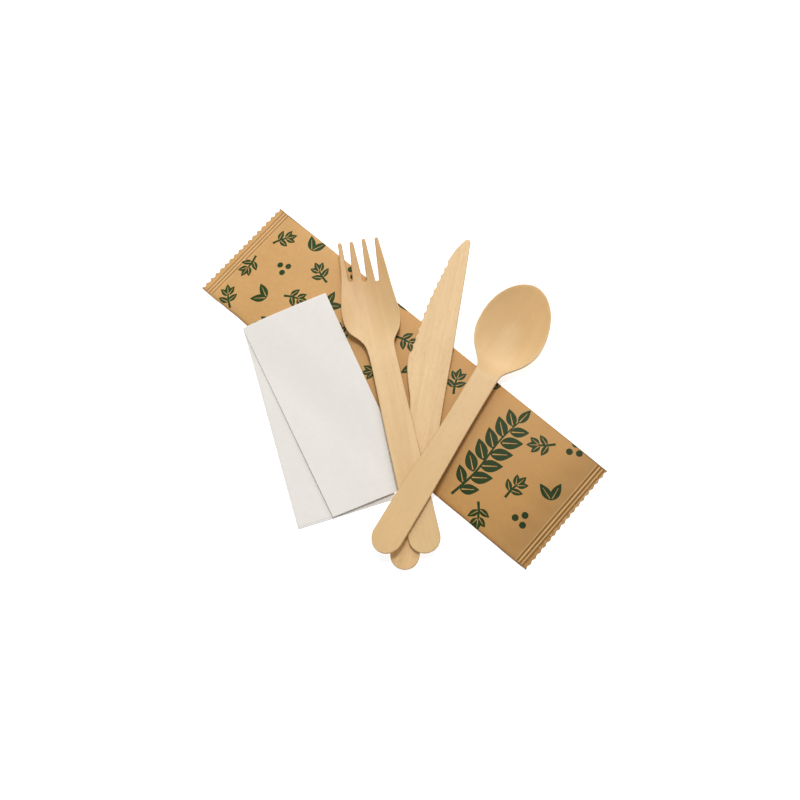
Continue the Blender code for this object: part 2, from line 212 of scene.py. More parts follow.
def sachet_height(u, v):
    """The height of the sachet's upper face, u along it and v across it from its middle."""
    from_end = SACHET_LENGTH / 2 - abs(u)
    lines = CRIMP_LINES[u > 0]
    crimp = lines[-1] + 0.5
    if from_end < crimp + 0.4:
        if from_end < lines[0] - 0.8:
            return SACHET_EDGE + 0.1
        near = min(abs(from_end - line) for line in lines)
        return lerp(SACHET_EDGE - 0.15, CRIMP_RIDGE, smoothstep(0.05, 0.62, near))
    lower, upper = sachet_sides(u)
    across = max(1 - ((2 * v - lower - upper) / (upper - lower)) ** 2, 0.0) ** 0.8
    return SACHET_EDGE + (SACHET_CROWN - SACHET_EDGE) * across * smoothstep(-0.12, 1, (from_end - crimp) / PILLOW_RUN) + 0.1 * (
        1 - smoothstep(0, 0.3, (from_end - crimp) / PILLOW_RUN)
    )


def table_height(x, y):
    """The height of what the napkin lies on, at a point of the layout: the sachet, or the table beside it."""
    yaw = math.radians(SACHET_YAW)
    dx, dy = x - SACHET_PLACE[0], y - SACHET_PLACE[1]
    u, v = dx * math.cos(yaw) + dy * math.sin(yaw), -dx * math.sin(yaw) + dy * math.cos(yaw)
    past = NAPKIN_LEAVES - v
    return (sachet_height(u, max(v, NAPKIN_LEAVES)) + CLEAR) * (1 - smoothstep(0.0, NAPKIN_DRAPE, past))


# Flat outlines as meshes


def divided(outline, step):
    """The outline with its long sides divided."""
    made = []
    for p, q in zip(outline, outline[1:] + outline[:1]):
        count = max(1, math.ceil(math.dist(p, q) / step))
        made += [(lerp(p[0], q[0], i / count), lerp(p[1], q[1], i / count)) for i in range(count)]
    return made


def outward(ring):
    """The outward direction at each point of an anticlockwise ring, a little longer at its corners so that offset sides keep their width."""
    ring = np.array(ring)
    side = np.roll(ring, -1, 0) - ring
    side /= np.linalg.norm(side, axis=1)[:, None]
    normal = np.stack([side[:, 1], -side[:, 0]], 1)
    mean = normal + np.roll(normal, 1, 0)
    mean /= np.linalg.norm(mean, axis=1)[:, None]
    return mean, 1.0 / np.clip((mean * normal).sum(1), 0.72, 1.0)


def inside(points, ring):
    """Which points are in the ring, and how far each one is from its sides."""
    points, ring = np.array(points, float), np.array(ring, float)
    a, b = ring, np.roll(ring, -1, 0)
    within, distance = np.zeros(len(points), bool), np.full(len(points), 1e9)
    for start in range(0, len(points), 2000):
        p = points[start : start + 2000, None, :]
        crosses = ((a[:, 1] > p[..., 1]) != (b[:, 1] > p[..., 1])) & (
            p[..., 0] < (b[:, 0] - a[:, 0]) * (p[..., 1] - a[:, 1]) / np.where(a[:, 1] == b[:, 1], 1e-12, b[:, 1] - a[:, 1]) + a[:, 0]
        )
        t = np.clip(((p - a) * (b - a)).sum(-1) / ((b - a) ** 2).sum(-1), 0, 1)
        apart = np.linalg.norm(p - a - t[..., None] * (b - a), axis=-1)
        within[start : start + 2000] = crosses.sum(1) % 2 == 1
        distance[start : start + 2000] = apart.min(1)
    return within, distance


def lattice(low, high, step):
    """Points of a triangular lattice."""
    made = []
    for row, y in enumerate(np.arange(low[1], high[1], step * 0.866)):
        made += [(x, y) for x in np.arange(low[0] + (row % 2) * step / 2, high[0], step)]
    return made


def filled(ring, points):
    """Triangles that fill the ring, with the points as corners. Indices run over the ring and then the points."""
    corners = [Vector(p) for p in list(ring) + list(points)]
    verts, _, faces, origins, _, filling = delaunay_2d_cdt(corners, [], [list(range(len(ring)))], 1, 1e-5, True)
    crossings = [tuple(round(c, 3) for c in verts[i]) for i, o in enumerate(origins) if len(o) != 1]
    if crossings:
        raise ValueError(f"the outline crosses or touches itself at {crossings[:6]}")
    return [tuple(origins[i][0] for i in face) for face, origin in zip(faces, filling) if origin]


def placing(place, height, yaw, rise=0.0):
    """Where a piece lies in the set. Its rise is how steeply it climbs along its own length."""
    where = Matrix.Translation(((place[0] - CENTRE[0]) * MM, (place[1] - CENTRE[1]) * MM, height * MM))
    return where @ Euler((math.atan(rise), 0.0, math.radians(yaw)), "XYZ").to_matrix().to_4x4()


def keep_grain(mesh, coordinates):
    """The piece's own coordinates, for its finish to follow."""
    grain = mesh.attributes.get("grain") or mesh.attributes.new("grain", "FLOAT_VECTOR", "POINT")
    grain.data.foreach_set("vector", np.array(coordinates, np.float32).ravel())


def keep_mark(mesh, name, values):
    """A number at each point, for a finish to read."""
    mark = mesh.attributes.get(name) or mesh.attributes.new(name, "FLOAT", "POINT")
    mark.data.foreach_set("value", np.array(values, np.float32))


def mesh_object(name, verts, faces, where, normals=None, slots=None):
    """A piece whose points are given in its own frame."""
    mesh = bpy.data.meshes.new(name)
    mesh.from_pydata([tuple(where @ Vector(v)) for v in verts], [], faces)
    keep_grain(mesh, [tuple(v) for v in verts])
    mesh.shade_smooth()
    if slots is not None:
        mesh.polygons.foreach_set("material_index", slots)
    if normals is not None:
        turn = where.to_3x3()
        mesh.normals_split_custom_set_from_vertices([tuple(turn @ Vector(n)) for n in normals])
    obj = bpy.data.objects.new(name, mesh)
    bpy.context.scene.collection.objects.link(obj)
    return obj


# Cutlery


def slope(surface, x, y, h=0.05):
    return (surface(x + h, y) - surface(x - h, y)) / (2 * h), (surface(x, y + h) - surface(x, y - h)) / (2 * h)


def veneer(name, outline, surface, where, ease=0.5, step=1.15):
    """A piece cut from veneer to the outline and pressed to the surface, with eased edges. Its underside lies at height 0 where it is flat."""
    outline = divided(outline, 0.7)
    direction, stretch = outward(outline)
    outline = np.array(outline)

    def offset(distance):
        return outline - direction * (stretch * distance)[:, None]

    # From the upper face over the eased edge, down the cut side and round to the lower face
    turns = [math.radians(a) for a in (0, 22, 45, 68, 90)]
    profile = [(ease * (1 - math.sin(t)), VENEER / 2 - ease * (1 - math.cos(t)), math.sin(t), math.cos(t)) for t in turns]
    profile += [(d, -h, out, -up) for d, h, out, up in reversed(profile)]

    inner = offset(ease)
    second = offset(ease + 0.55)
    low, high = outline.min(0), outline.max(0)
    candidates = lattice(low, high, step)
    within, away = inside(candidates, inner)
    points = [p for p, i, d in zip(candidates, within, away) if i and d > 0.55 + 0.5 * step]
    within, away = inside(second, inner)
    points = [tuple(p) for p, i, d in zip(second, within, away) if i and d > 0.5] + points
    triangles = filled([tuple(p) for p in inner], points)

    verts, normals, faces, end_grain = [], [], [], []

    def add(x, y, height, out=0.0, up=1.0, way=(0.0, 0.0)):
        end_grain.append(abs(way[1]) * out)
        sx, sy = slope(surface, x, y)
        tall = math.sqrt(1 + sx * sx + sy * sy)
        verts.append((x * MM, y * MM, (surface(x, y) + VENEER / 2 + height * tall) * MM))
        normals.append(tuple((Vector((-sx, -sy, 1.0)) / tall * up + Vector((way[0], way[1], 0.0)) * out).normalized()))

    for x, y in points:
        add(x, y, VENEER / 2)
    upper = len(verts)
    for x, y in points:
        add(x, y, -VENEER / 2, up=-1.0)
    rings = []
    for distance, height, out, up in profile:
        rings.append(len(verts))
        for (x, y), way in zip(offset(distance), direction):
            add(x, y, height, out, up, way)
    count = len(outline)
    for face in triangles:
        faces.append(tuple(rings[0] + i if i < count else i - count for i in face))
        faces.append(tuple(reversed([rings[-1] + i if i < count else upper + i - count for i in face])))
    for a, b in zip(rings, rings[1:]):
        for i in range(count):
            j = (i + 1) % count
            faces.append((a + i, b + i, b + j, a + j))
    obj = mesh_object(name, verts, faces, where, normals)
    keep_mark(obj.data, "end_grain", end_grain)
    return obj


# Finishes


class Finish:
    """A procedural material, with short calls for its nodes. Sizes of its patterns are in millimetres."""

    def __init__(self, name, roughness, specular):
        self.material = bpy.data.materials.new(name)
        self.material.use_nodes = True
        self.tree = self.material.node_tree
        self.shader = self.tree.nodes["Principled BSDF"]
        self.shader.inputs["Roughness"].default_value = roughness
        self.shader.inputs["Specular IOR Level"].default_value = specular
        self.place = self.tree.nodes.new("ShaderNodeAttribute")
        self.place.attribute_name = "grain"
        self.facing = self.tree.nodes.new("ShaderNodeTexCoord")

    def node(self, kind, inputs=(), **settings):
        made = self.tree.nodes.new(kind)
        for key, value in settings.items():
            setattr(made, key, value)
        for key, value in dict(inputs).items():
            if isinstance(value, bpy.types.NodeSocket):
                self.tree.links.new(value, made.inputs[key])
            else:
                made.inputs[key].default_value = value
        return made

    def mapped(self, size, shift=(0, 0, 0), turn=0.0):
        """The piece's own coordinates, in units of size along each axis. A size of 0 leaves that axis out."""
        scale = [1 / (s * MM) if s else 0.0 for s in size]
        where = self.place.outputs["Vector"]
        if turn:
            where = self.node("ShaderNodeVectorRotate", {"Vector": where, "Angle": math.radians(turn)}, rotation_type="Z_AXIS").outputs[0]
        return self.node("ShaderNodeMapping", {"Vector": where, "Scale": scale, "Location": shift}).outputs[0]

    def noise(self, size, shift=(0, 0, 0), turn=0.0, detail=2.0, rough=0.5, distortion=0.0):
        where = self.mapped(size, shift, turn)
        return self.node(
            "ShaderNodeTexNoise", {"Vector": where, "Scale": 1.0, "Detail": detail, "Roughness": rough, "Distortion": distortion}
        ).outputs["Fac"]

    def mark(self, name):
        return self.node("ShaderNodeAttribute", attribute_name=name).outputs["Fac"]

    def ranged(self, value, low, high, to_low=0.0, to_high=1.0, smooth=False):
        kind = "SMOOTHSTEP" if smooth else "LINEAR"
        inputs = {"Value": value, "From Min": low, "From Max": high, "To Min": to_low, "To Max": to_high}
        return self.node("ShaderNodeMapRange", inputs, interpolation_type=kind).outputs[0]

    def sum(self, *terms):
        """The sum of value times weight."""
        total = None
        for value, weight in terms:
            term = self.node("ShaderNodeMath", {0: value, 1: weight}, operation="MULTIPLY").outputs[0]
            total = term if total is None else self.node("ShaderNodeMath", {0: total, 1: term}, operation="ADD").outputs[0]
        return total

    def product(self, *terms):
        total = terms[0]
        for term in terms[1:]:
            total = self.node("ShaderNodeMath", {0: total, 1: term}, operation="MULTIPLY").outputs[0]
        return total

    def greater(self, a, b):
        return self.node("ShaderNodeMath", {0: a, 1: b}, operation="MAXIMUM").outputs[0]

    def mixed(self, amount, a, b, blend="MIX"):
        inputs = {0: amount, 6: a if isinstance(a, bpy.types.NodeSocket) else (*a, 1.0), 7: b if isinstance(b, bpy.types.NodeSocket) else (*b, 1.0)}
        return self.node("ShaderNodeMix", inputs, data_type="RGBA", blend_type=blend).outputs[2]

    def steepness(self):
        """0 on faces that look up or down, 1 on upright ones."""
        height = self.node("ShaderNodeSeparateXYZ", {"Vector": self.facing.outputs["Normal"]}).outputs["Z"]
        return self.ranged(self.node("ShaderNodeMath", {0: height}, operation="ABSOLUTE").outputs[0], 0.75, 0.3, smooth=True)

    def colour(self, value):
        self.tree.links.new(value, self.shader.inputs["Base Color"])

    def roughness(self, value):
        self.tree.links.new(value, self.shader.inputs["Roughness"])

    def bump(self, height, depth, strength=1.0):
        """Depth is the real height of the relief where height goes from 0 to 1."""
        made = self.node("ShaderNodeBump", {"Height": height, "Distance": depth * MM, "Strength": strength})
        self.tree.links.new(made.outputs["Normal"], self.shader.inputs["Normal"])


WOOD_SPECULAR, KRAFT_SPECULAR, INK_SPECULAR = 0.6, 0.35, 0.15


def birch(name, pale, tan, seed, figured=1.0, tone_and_shade=()):
    """Rotary-cut birch veneer: broad soft figure, fine lengthwise fibre, short vessel lines and darker cut sides,
    darkest at the end grain; the cut sides' darkness is partly the cut wood's own colour and partly painted shade. The
    tone_and_shade entries say how its colour changes along its length, as (place, colour), partly the wood's own tone
    and partly painted light and shade."""
    wood = Finish(name, 0.5, WOOD_SPECULAR)
    at = (seed * 3.7, seed * 1.3, seed)
    figure = wood.noise((6.5, 70, 0), at, detail=2, distortion=0.9)
    bands = wood.noise((2.1, 95, 0), at, detail=3, rough=0.55, distortion=0.35)
    streaks = wood.noise((0.8, 42, 0), at, detail=3, rough=0.6)
    fibre = wood.noise((0.17, 7, 0.4), at, detail=2, rough=0.6)
    vessels = wood.ranged(wood.noise((0.2, 3.4, 0), at, detail=0), 0.69, 0.76, smooth=True)
    clouds = wood.noise((16, 30, 0), at, detail=1)
    cut = wood.steepness()
    tone = wood.ranged(wood.sum((figure, 0.6), (bands, 0.4)), 0.36, 0.66, smooth=True)
    base = wood.mixed(tone, pale, tan)
    shade = wood.product(
        wood.ranged(streaks, 0.3, 0.7, 1 + 0.04 * figured, 1 - 0.045 * figured),
        wood.ranged(fibre, 0.25, 0.75, 1.02, 0.97),
        wood.ranged(clouds, 0.3, 0.7, 1.015, 0.98),
    )
    base = wood.mixed(1.0, base, shade, "MULTIPLY")
    # Painted light and shade along the piece, mixed with the wood's own tone: the tone_and_shade colours multiply the
    # base.
    if tone_and_shade:
        along = wood.node("ShaderNodeSeparateXYZ", {"Vector": wood.place.outputs["Vector"]}).outputs["Y"]
        tone_and_shade_tint = tone_and_shade[0][1]
        for (start, _), (end, colour) in zip(tone_and_shade, tone_and_shade[1:]):
            tone_and_shade_tint = wood.mixed(wood.ranged(along, start * MM, end * MM), tone_and_shade_tint, colour)
        base = wood.mixed(1.0, base, tone_and_shade_tint, "MULTIPLY")
    # Painted light and shade of the spoon's hollow, with some of the pressed bowl's own colour: its bottom is painted
    # deeper and its walls paler.
    bowl_tone_and_shade_tint = wood.mixed(wood.ranged(wood.mark("bowl_tone_and_shade"), -1.0, 1.0), (0.95, 0.925, 0.865), (1.1, 1.12, 1.17))
    base = wood.mixed(1.0, base, bowl_tone_and_shade_tint, "MULTIPLY")
    base = wood.mixed(wood.product(vessels, 0.22 * figured), base, (0.4, 0.23, 0.1))
    # Cut sides: darker than the faces, darkest at the end grain; partly the cut wood's own colour and partly painted
    # shade that draws dark outlines along the edges.
    side = wood.mixed(wood.mark("end_grain"), (0.4, 0.235, 0.095), (0.26, 0.145, 0.06))
    side = wood.mixed(1.0, side, wood.ranged(wood.noise((0.5, 1.6, 0.09), at, detail=2), 0.3, 0.7, 1.1, 0.85), "MULTIPLY")
    wood.colour(wood.mixed(wood.product(cut, 0.85), base, side))
    wood.roughness(wood.sum((wood.ranged(fibre, 0.3, 0.7, 0.46, 0.56), 1.0), (cut, 0.2)))
    wood.bump(wood.sum((streaks, 0.5), (fibre, 0.5), (vessels, -0.6)), 0.05, 0.8)
    return wood.material


def paper(name, base, pale, dark, ink=None):
    """Kraft paper, bare or printed: cloudy formation, crossing fibres and the faint lines of its rolling. It is darker
    where it is pressed or folded, partly painted shade in the seal's grooves and along the folded sides, and paler on
    the ridges of the seal, partly worn and partly a painted highlight."""
    kraft = Finish(name, 0.5, INK_SPECULAR if ink else KRAFT_SPECULAR)
    clouds = kraft.noise((2.6, 2.2, 0), detail=3, rough=0.6)
    patches = kraft.noise((26, 18, 0), detail=2)
    lines = kraft.noise((24, 0.4, 0), detail=2)
    threads = [kraft.noise((3.2, 0.2, 0), (n * 5.1, n * 2.3, 0), turn, detail=1, distortion=0.5) for n, turn in enumerate((12, 61, 118, 160))]
    light = kraft.greater(kraft.ranged(threads[0], 0.64, 0.76), kraft.ranged(threads[2], 0.65, 0.78))
    deep = kraft.greater(kraft.ranged(threads[1], 0.66, 0.78), kraft.ranged(threads[3], 0.66, 0.8))
    shade = kraft.product(
        kraft.ranged(clouds, 0.3, 0.7, 0.955, 1.045), kraft.ranged(patches, 0.3, 0.7, 0.97, 1.03), kraft.ranged(lines, 0.3, 0.7, 0.985, 1.015)
    )
    colour = kraft.mixed(kraft.product(light, 0.34), base, pale)
    colour = kraft.mixed(kraft.product(deep, 0.3), colour, dark)
    worn = kraft.ranged(kraft.noise((7, 0.9, 0), turn=90, detail=2), 0.3, 0.7, 0.65, 1.0)
    # The seal's ridges: paler, partly worn paper and partly a painted highlight.
    colour = kraft.mixed(kraft.product(kraft.mark("ridge_wear_and_highlight"), worn), colour, (1.0, 0.7, 0.37))
    # Grooves and folds: darker, partly pressed paper and partly painted shade.
    colour = kraft.mixed(kraft.product(kraft.mark("pressed_and_shade"), worn, 0.9), colour, (0.17, 0.07, 0.016))
    if ink:
        # The ink covers a little less where the paper's fibres stand up.
        cover = kraft.sum((kraft.ranged(clouds, 0.35, 0.75, 0.99, 0.955), 1.0), (light, -0.06))
        colour = kraft.mixed(cover, colour, ink)
        kraft.roughness(kraft.ranged(clouds, 0.3, 0.7, 0.46, 0.56))
    else:
        kraft.roughness(kraft.ranged(clouds, 0.3, 0.7, 0.52, 0.64))
    # Painted light and shade: the strip is painted paler towards one end and deeper towards the other, and painted
    # darker on its slope down to the right seal.
    along = kraft.node("ShaderNodeSeparateXYZ", {"Vector": kraft.place.outputs["Vector"]}).outputs["X"]
    painted_end_to_end_light = kraft.mixed(kraft.ranged(along, -0.07, 0.095), (1.07, 1.09, 1.14), (0.85, 0.79, 0.65))
    shade = kraft.product(shade, kraft.ranged(along, 0.082, 0.099, 1.0, 0.82, smooth=True))
    kraft.colour(kraft.mixed(1.0, kraft.mixed(1.0, colour, shade, "MULTIPLY"), painted_end_to_end_light, "MULTIPLY"))
    kraft.bump(kraft.sum((clouds, 0.6), (light, 0.3), (deep, 0.2), (lines, 0.3)), 0.035, 0.7)
    return kraft.material


def tissue():
    """Soft creped tissue."""
    soft = Finish("tissue_paper", 0.95, 0.15)
    clouds = soft.noise((3.4, 3.4, 0), detail=3, rough=0.6)
    crepe = soft.noise((2.6, 0.32, 0), turn=4, detail=2, rough=0.6, distortion=0.6)
    fibre = soft.noise((0.16, 1.1, 0.3), turn=35, detail=2, distortion=0.8)
    patches = soft.noise((22, 30, 0), detail=1)
    shade = soft.product(
        soft.ranged(clouds, 0.3, 0.7, 0.985, 1.012), soft.ranged(crepe, 0.3, 0.7, 0.985, 1.01), soft.ranged(fibre, 0.3, 0.7, 0.99, 1.008)
    )
    base = soft.mixed(soft.ranged(patches, 0.3, 0.7), (0.822, 0.785, 0.735), (0.808, 0.774, 0.728))
    soft.colour(soft.mixed(1.0, base, shade, "MULTIPLY"))
    soft.roughness(soft.ranged(clouds, 0.3, 0.7, 0.9, 1.0))
    soft.bump(soft.sum((crepe, 0.6), (fibre, 0.25), (clouds, 0.5)), 0.05, 0.75)
    return soft.material


# The print: tossed leaf sprigs and dots in one colour, and a larger branch across the sachet near its end


def turned(points, x, y, degrees):
    c, s = math.cos(math.radians(degrees)), math.sin(math.radians(degrees))
    return [(x + px * c - py * s, y + px * s + py * c) for px, py in points]


def leaf(length, width, steps=14):
    """A pointed leaf from its base along +X."""
    upper = [(length * t, width / 2 * math.sin(math.pi * t**0.82) ** 0.92) for t in (i / steps for i in range(1, steps))]
    return [(0.0, 0.0)] + [(x, -y) for x, y in upper] + [(length, 0.0)] + upper[::-1]


def vein(length, width=0.42):
    """The bare line along a leaf's middle."""
    return [(length * 0.1, -width / 2), (length * 0.74, -width * 0.2), (length * 0.74, width * 0.2), (length * 0.1, width / 2)]


def stroke(points, wide, narrow):
    """A line that narrows to its end."""
    line = [Vector(p) for p in points]
    left, right = [], []
    for i, p in enumerate(line):
        way = (line[min(i + 1, len(line) - 1)] - line[max(i - 1, 0)]).normalized()
        across = Vector((-way.y, way.x)) * lerp(wide, narrow, i / (len(line) - 1)) / 2
        left.append(tuple(p + across))
        right.append(tuple(p - across))
    return right + left[::-1]


def sprig(x, y, degrees, size):
    """A stem with five leaves. Its shapes, and the bare lines in them."""
    stem = through([(-0.5, -0.06), (-0.2, 0.0), (0.12, 0.02)], 4)
    solid, bare = [[(px * size, py * size) for px, py in stroke(stem, 0.1, 0.07)]], []
    for at, way, length in ((-0.24, 58, 0.46), (-0.2, -56, 0.46), (0.04, 42, 0.43), (0.07, -40, 0.43), (0.08, 1, 0.46)):
        base = (at * size, 0.01 * size)
        solid.append(turned(leaf(length * size, 0.235 * size), *base, way))
        bare.append(turned(vein(length * size), *base, way))
    return [turned(s, x, y, degrees) for s in solid], [turned(b, x, y, degrees) for b in bare]


def pair(x, y, degrees, size):
    """Two leaves that lean apart."""
    solid = [turned(leaf(0.8 * size, 0.37 * size), -0.36 * size, 0.0, way) for way in (31, -33)]
    bare = [turned(vein(0.8 * size), -0.36 * size, 0.0, way) for way in (31, -33)]
    return [turned(s, x, y, degrees) for s in solid], [turned(b, x, y, degrees) for b in bare]


def dots(x, y, degrees, size):
    """Three dots."""
    places = [(0.0, 0.27), (-0.25, -0.15), (0.25, -0.15)]
    return [turned(arc(px * size, py * size, 0.17 * size, 0, 345, 23), x, y, degrees) for px, py in places], []


def branch(u, size):
    """A long branch across the sachet, with leaves on both sides."""
    solid, bare = [stroke(through([(u - 1.2, -24.5), (u + 0.6, -10), (u - 0.6, 8), (u + 0.5, 21.5)], 10), 1.3, 0.6)], []
    for i, v in enumerate((-20.5, -13.6, -6.7, 0.2, 7.1, 13.8)):
        scale = size * (0.85 if i in (0, 5) else 1.0)
        for side, way in ((1, 38), (-1, 142)):
            base = (u + 0.2 * side, v + (0.0 if side > 0 else 2.9))
            solid.append(turned(leaf(10.4 * scale, 5.7 * scale), *base, way))
            bare.append(turned(vein(10.4 * scale, 0.6), *base, way))
    solid.append(turned(leaf(8.6, 4.0), u + 0.4, 19.5, 88))
    bare.append(turned(vein(8.6, 0.5), u + 0.4, 19.5, 88))
    return solid, bare


def print_shapes():
    """All the printed shapes of one face, and the bare lines in them."""
    solid, bare = [], []

    def put(shapes):
        solid.extend(shapes[0])
        bare.extend(shapes[1])

    put(branch(61.0, 1.0))
    number = 0
    for row, u in enumerate([-92.0 + 14.6 * i for i in range(10)] + [77.0, 90.4]):
        for column, v in enumerate((-23.0, -3.0, 17.0)):
            number += 1
            pu, pv = u + 2.2 * math.sin(number * 2.4), v + (row % 2) * 9.6 + 1.6 * math.cos(number * 1.7)
            if 47.5 < pu < 74.0 or abs(pv) > 30:
                continue
            turn = (number * 137.5) % 360
            kind = (row + 2 * column) % 4
            put(sprig(pu, pv, turn, 12.6) if kind in (0, 2) else pair(pu, pv, turn, 11.0) if kind == 1 else dots(pu, pv, turn, 9.0))
    return solid, bare


# Sachet


def sachet_top(u, v):
    """The upper face as it looks: the pouch, with faint creases from the crimps and a soft unevenness."""
    from_end = SACHET_LENGTH / 2 - abs(u)
    height = sachet_height(u, v)
    crimp = CRIMP_LINES[u > 0][-1] + 0.5
    if from_end > crimp + 0.4:
        beyond = from_end - crimp
        end = 1.0 if u > 0 else -1.0
        lower, upper = sachet_sides(u)
        across = max(1 - ((2 * v - lower - upper) / (upper - lower)) ** 2, 0.0)
        pucker = math.sin(v * 0.62 + end * 1.3 + 0.4 * math.sin(v * 0.21)) * smoothstep(0, 3, beyond) * (1 - smoothstep(3, 22, beyond))
        height += 0.09 * pucker * across**0.5
        height += 0.05 * math.sin(u * 0.11 + 0.7 * math.sin(v * 0.13)) * math.sin(v * 0.17 + 0.5) * smoothstep(4, 24, beyond) * across
    return height


def sachet_base(u, v):
    """The lower face: flat, with the back seam folded down along its middle."""
    beyond = SACHET_LENGTH / 2 - abs(u) - CRIMP_LINES[u > 0][-1] - 0.5
    return 0.1 * (1 - smoothstep(-8.2, -7.9, v) * (1 - smoothstep(4.9, 5.2, v)) * smoothstep(0.0, 0.6, beyond))


def tooth(t):
    """How far the cut goes in, from 0 at a tooth's point to 1 between two teeth."""
    return min(max((1 - abs(2 * (t % 1.0) - 1)) * 1.14 - 0.07, 0.0), 1.0)


def sachet(kraft, ink):
    half, inset = SACHET_LENGTH / 2, 0.16
    count = TEETH * 12

    def side(end, i, inward=0.0):
        """A place across the sachet at one end, counted in steps from its lower side."""
        lower, upper = sachet_sides(end * half)
        return lerp(lower + inset + inward, upper - inset - inward, i / count)

    def cut_end(end, i, inward=0.0):
        skew = 0.3 + SACHET_END_SKEW * side(end, i) if end > 0 else 0.0
        return end * (half - TOOTH_DEPTHS[end > 0] * tooth(i / count * TEETH) + skew - inward)

    right = [(cut_end(1, i), side(1, i)) for i in range(count + 1)]
    top = [(u, sachet_sides(u)[1] - inset) for u in spaced(right[-1][0], cut_end(-1, count), 1.4)[1:-1]]
    left = [(cut_end(-1, i), side(-1, i)) for i in range(count, -1, -1)]
    bottom = [(u, sachet_sides(u)[0] + inset) for u in spaced(left[-1][0], right[0][0], 1.4)[1:-1]]
    outline = right + top + left + bottom

    grid = []
    for end in (-1, 1):
        lines = CRIMP_LINES[end > 0]
        first, last = 1.55 if end < 0 else 1.25, lines[-1] + 1.0
        lower, upper = sachet_sides(end * half)
        for d in spaced(first, last, 0.155) + spaced(last + 0.6, 9.9, 0.9):
            grid += [(end * (half - d), v) for v in spaced(lower + 0.86, upper - 0.86, 1.25)]
    for d in (0.25, 0.5, 0.8):
        for i in range(2, count - 1, 2):
            grid += [(cut_end(end, i, d), side(end, i)) for end in (-1, 1)]
    for u in spaced(-half + 10.8, half - 10.8, 1.25):
        lower, upper = sachet_sides(u)
        grid += [(u, v) for v in [lower + 0.5, upper - 0.5] + spaced(lower + 1.1, upper - 1.1, 1.25)]
    solid, bare = print_shapes()
    corners = [Vector(p) for p in outline]
    rings = [list(range(len(outline)))]
    for shape in solid + bare:
        start = len(corners)
        corners += [Vector(p) for p in divided(shape, 1.0)]
        rings.append(list(range(start, len(corners))))
    corners += [Vector(p) for p in grid]
    flat, _, faces, _, _, origins = delaunay_2d_cdt(corners, [], rings, 1, 1e-4, True)
    kept, printed = [], []
    for face, origin in zip(faces, origins):
        if 0 in origin:
            kept.append(tuple(face))
            inked = any(1 <= o <= len(solid) for o in origin) and not any(o > len(solid) for o in origin)
            printed.append(1 if inked else 0)
    used = sorted({i for face in kept for i in face})
    index = {old: new for new, old in enumerate(used)}
    kept = [tuple(index[i] for i in face) for face in kept]
    flat = [tuple(flat[i]) for i in used]

    # The rim, in order
    ahead = {}
    sides = {(a, b) for face in kept for a, b in zip(face, face[1:] + face[:1])}
    for a, b in sides:
        if (b, a) not in sides:
            ahead[a] = b
    rim = [min(ahead)]
    while ahead[rim[-1]] != rim[0]:
        rim.append(ahead[rim[-1]])
    direction, _ = outward([flat[i] for i in rim])

    verts, normals, slots = [], [], []
    for u, v in flat:
        su, sv = slope(sachet_top, u, v, 0.03)
        verts.append((u * MM, v * MM, sachet_top(u, v) * MM))
        normals.append(tuple(Vector((-su, -sv, 1.0)).normalized()))
    under = len(verts)
    for u, v in flat:
        su, sv = slope(sachet_base, u, v, 0.03)
        verts.append((u * MM, v * MM, sachet_base(u, v) * MM))
        normals.append(tuple(Vector((su, sv, -1.0)).normalized()))
    faces = list(kept) + [tuple(reversed([i + under for i in face])) for face in kept]
    slots = printed + printed

    # Down the rim: round along the folded sides, square at the cut ends with a groove between the two layers
    levels = [(0.0, 1.0, 1.0), (0.55, 0.92, 0.7), (0.9, 0.72, 0.3), (1.0, 0.5, 0.0), (0.9, 0.28, -0.3), (0.55, 0.08, -0.7), (0.0, 0.0, -1.0)]
    cuts = [(0.0, 1.0), (0.0, 0.9), (0.0, 0.62), (-0.6, 0.5), (0.0, 0.38), (0.0, 0.1), (0.0, 0.0)]
    loops = []
    for (out, level, up), (out_cut, level_cut) in zip(levels, cuts):
        loops.append(len(verts))
        for i, way in zip(rim, direction):
            u, v = flat[i]
            cut = abs(u) > half - TOOTH_DEPTHS[u > 0] - 0.25
            top, base = sachet_top(u, v), sachet_base(u, v)
            reach, height = (out_cut, level_cut) if cut else (out, level)
            reach *= 0.16
            verts.append(((u + way[0] * reach) * MM, (v + way[1] * reach) * MM, lerp(base, top, height) * MM))
            flatwise = Vector((way[0], way[1], 0.0))
            normals.append(tuple(flatwise if cut else (flatwise * math.sqrt(max(1 - up * up, 0.0)) + Vector((0, 0, up))).normalized()))
    for a, b in zip(loops, loops[1:]):
        for i in range(len(rim)):
            j = (i + 1) % len(rim)
            faces.append((a + i, b + i, b + j, a + j))
            slots.append(0)
    # The rim's first and last loops lie on the faces' own edges.
    merge = {loops[0] + i: rim[i] for i in range(len(rim))}
    merge.update({loops[-1] + i: rim[i] + under for i in range(len(rim))})
    faces = [tuple(merge.get(i, i) for i in face) for face in faces]
    used = sorted({i for face in faces for i in face})
    index = {old: new for new, old in enumerate(used)}
    faces = [tuple(index[i] for i in face) for face in faces]
    where = placing(SACHET_PLACE, 0.0, SACHET_YAW)
    obj = mesh_object("kraft_sachet_paper", [verts[i] for i in used], faces, where, [normals[i] for i in used])
    obj.data.materials.append(kraft)
    obj.data.materials.append(ink)
    obj.data.polygons.foreach_set("material_index", slots)
    pressed_and_shade, ridge_wear_and_highlight_values = [], []
    for i in used:
        u, v = verts[i][0] / MM, verts[i][1] / MM
        from_end = half - abs(u)
        lines = CRIMP_LINES[u > 0]
        near = min(abs(from_end - line) for line in lines)
        lower, upper = sachet_sides(u)
        # Along the folded sides: a dark line at each fold, partly the crease and partly painted shade, and a wider
        # painted shade up the lower side.
        fold = max(0.8 - 0.8 * smoothstep(0.45, 1.05, min(v - lower, upper - v)), 0.22 - 0.22 * smoothstep(0.5, 3.2, v - lower))
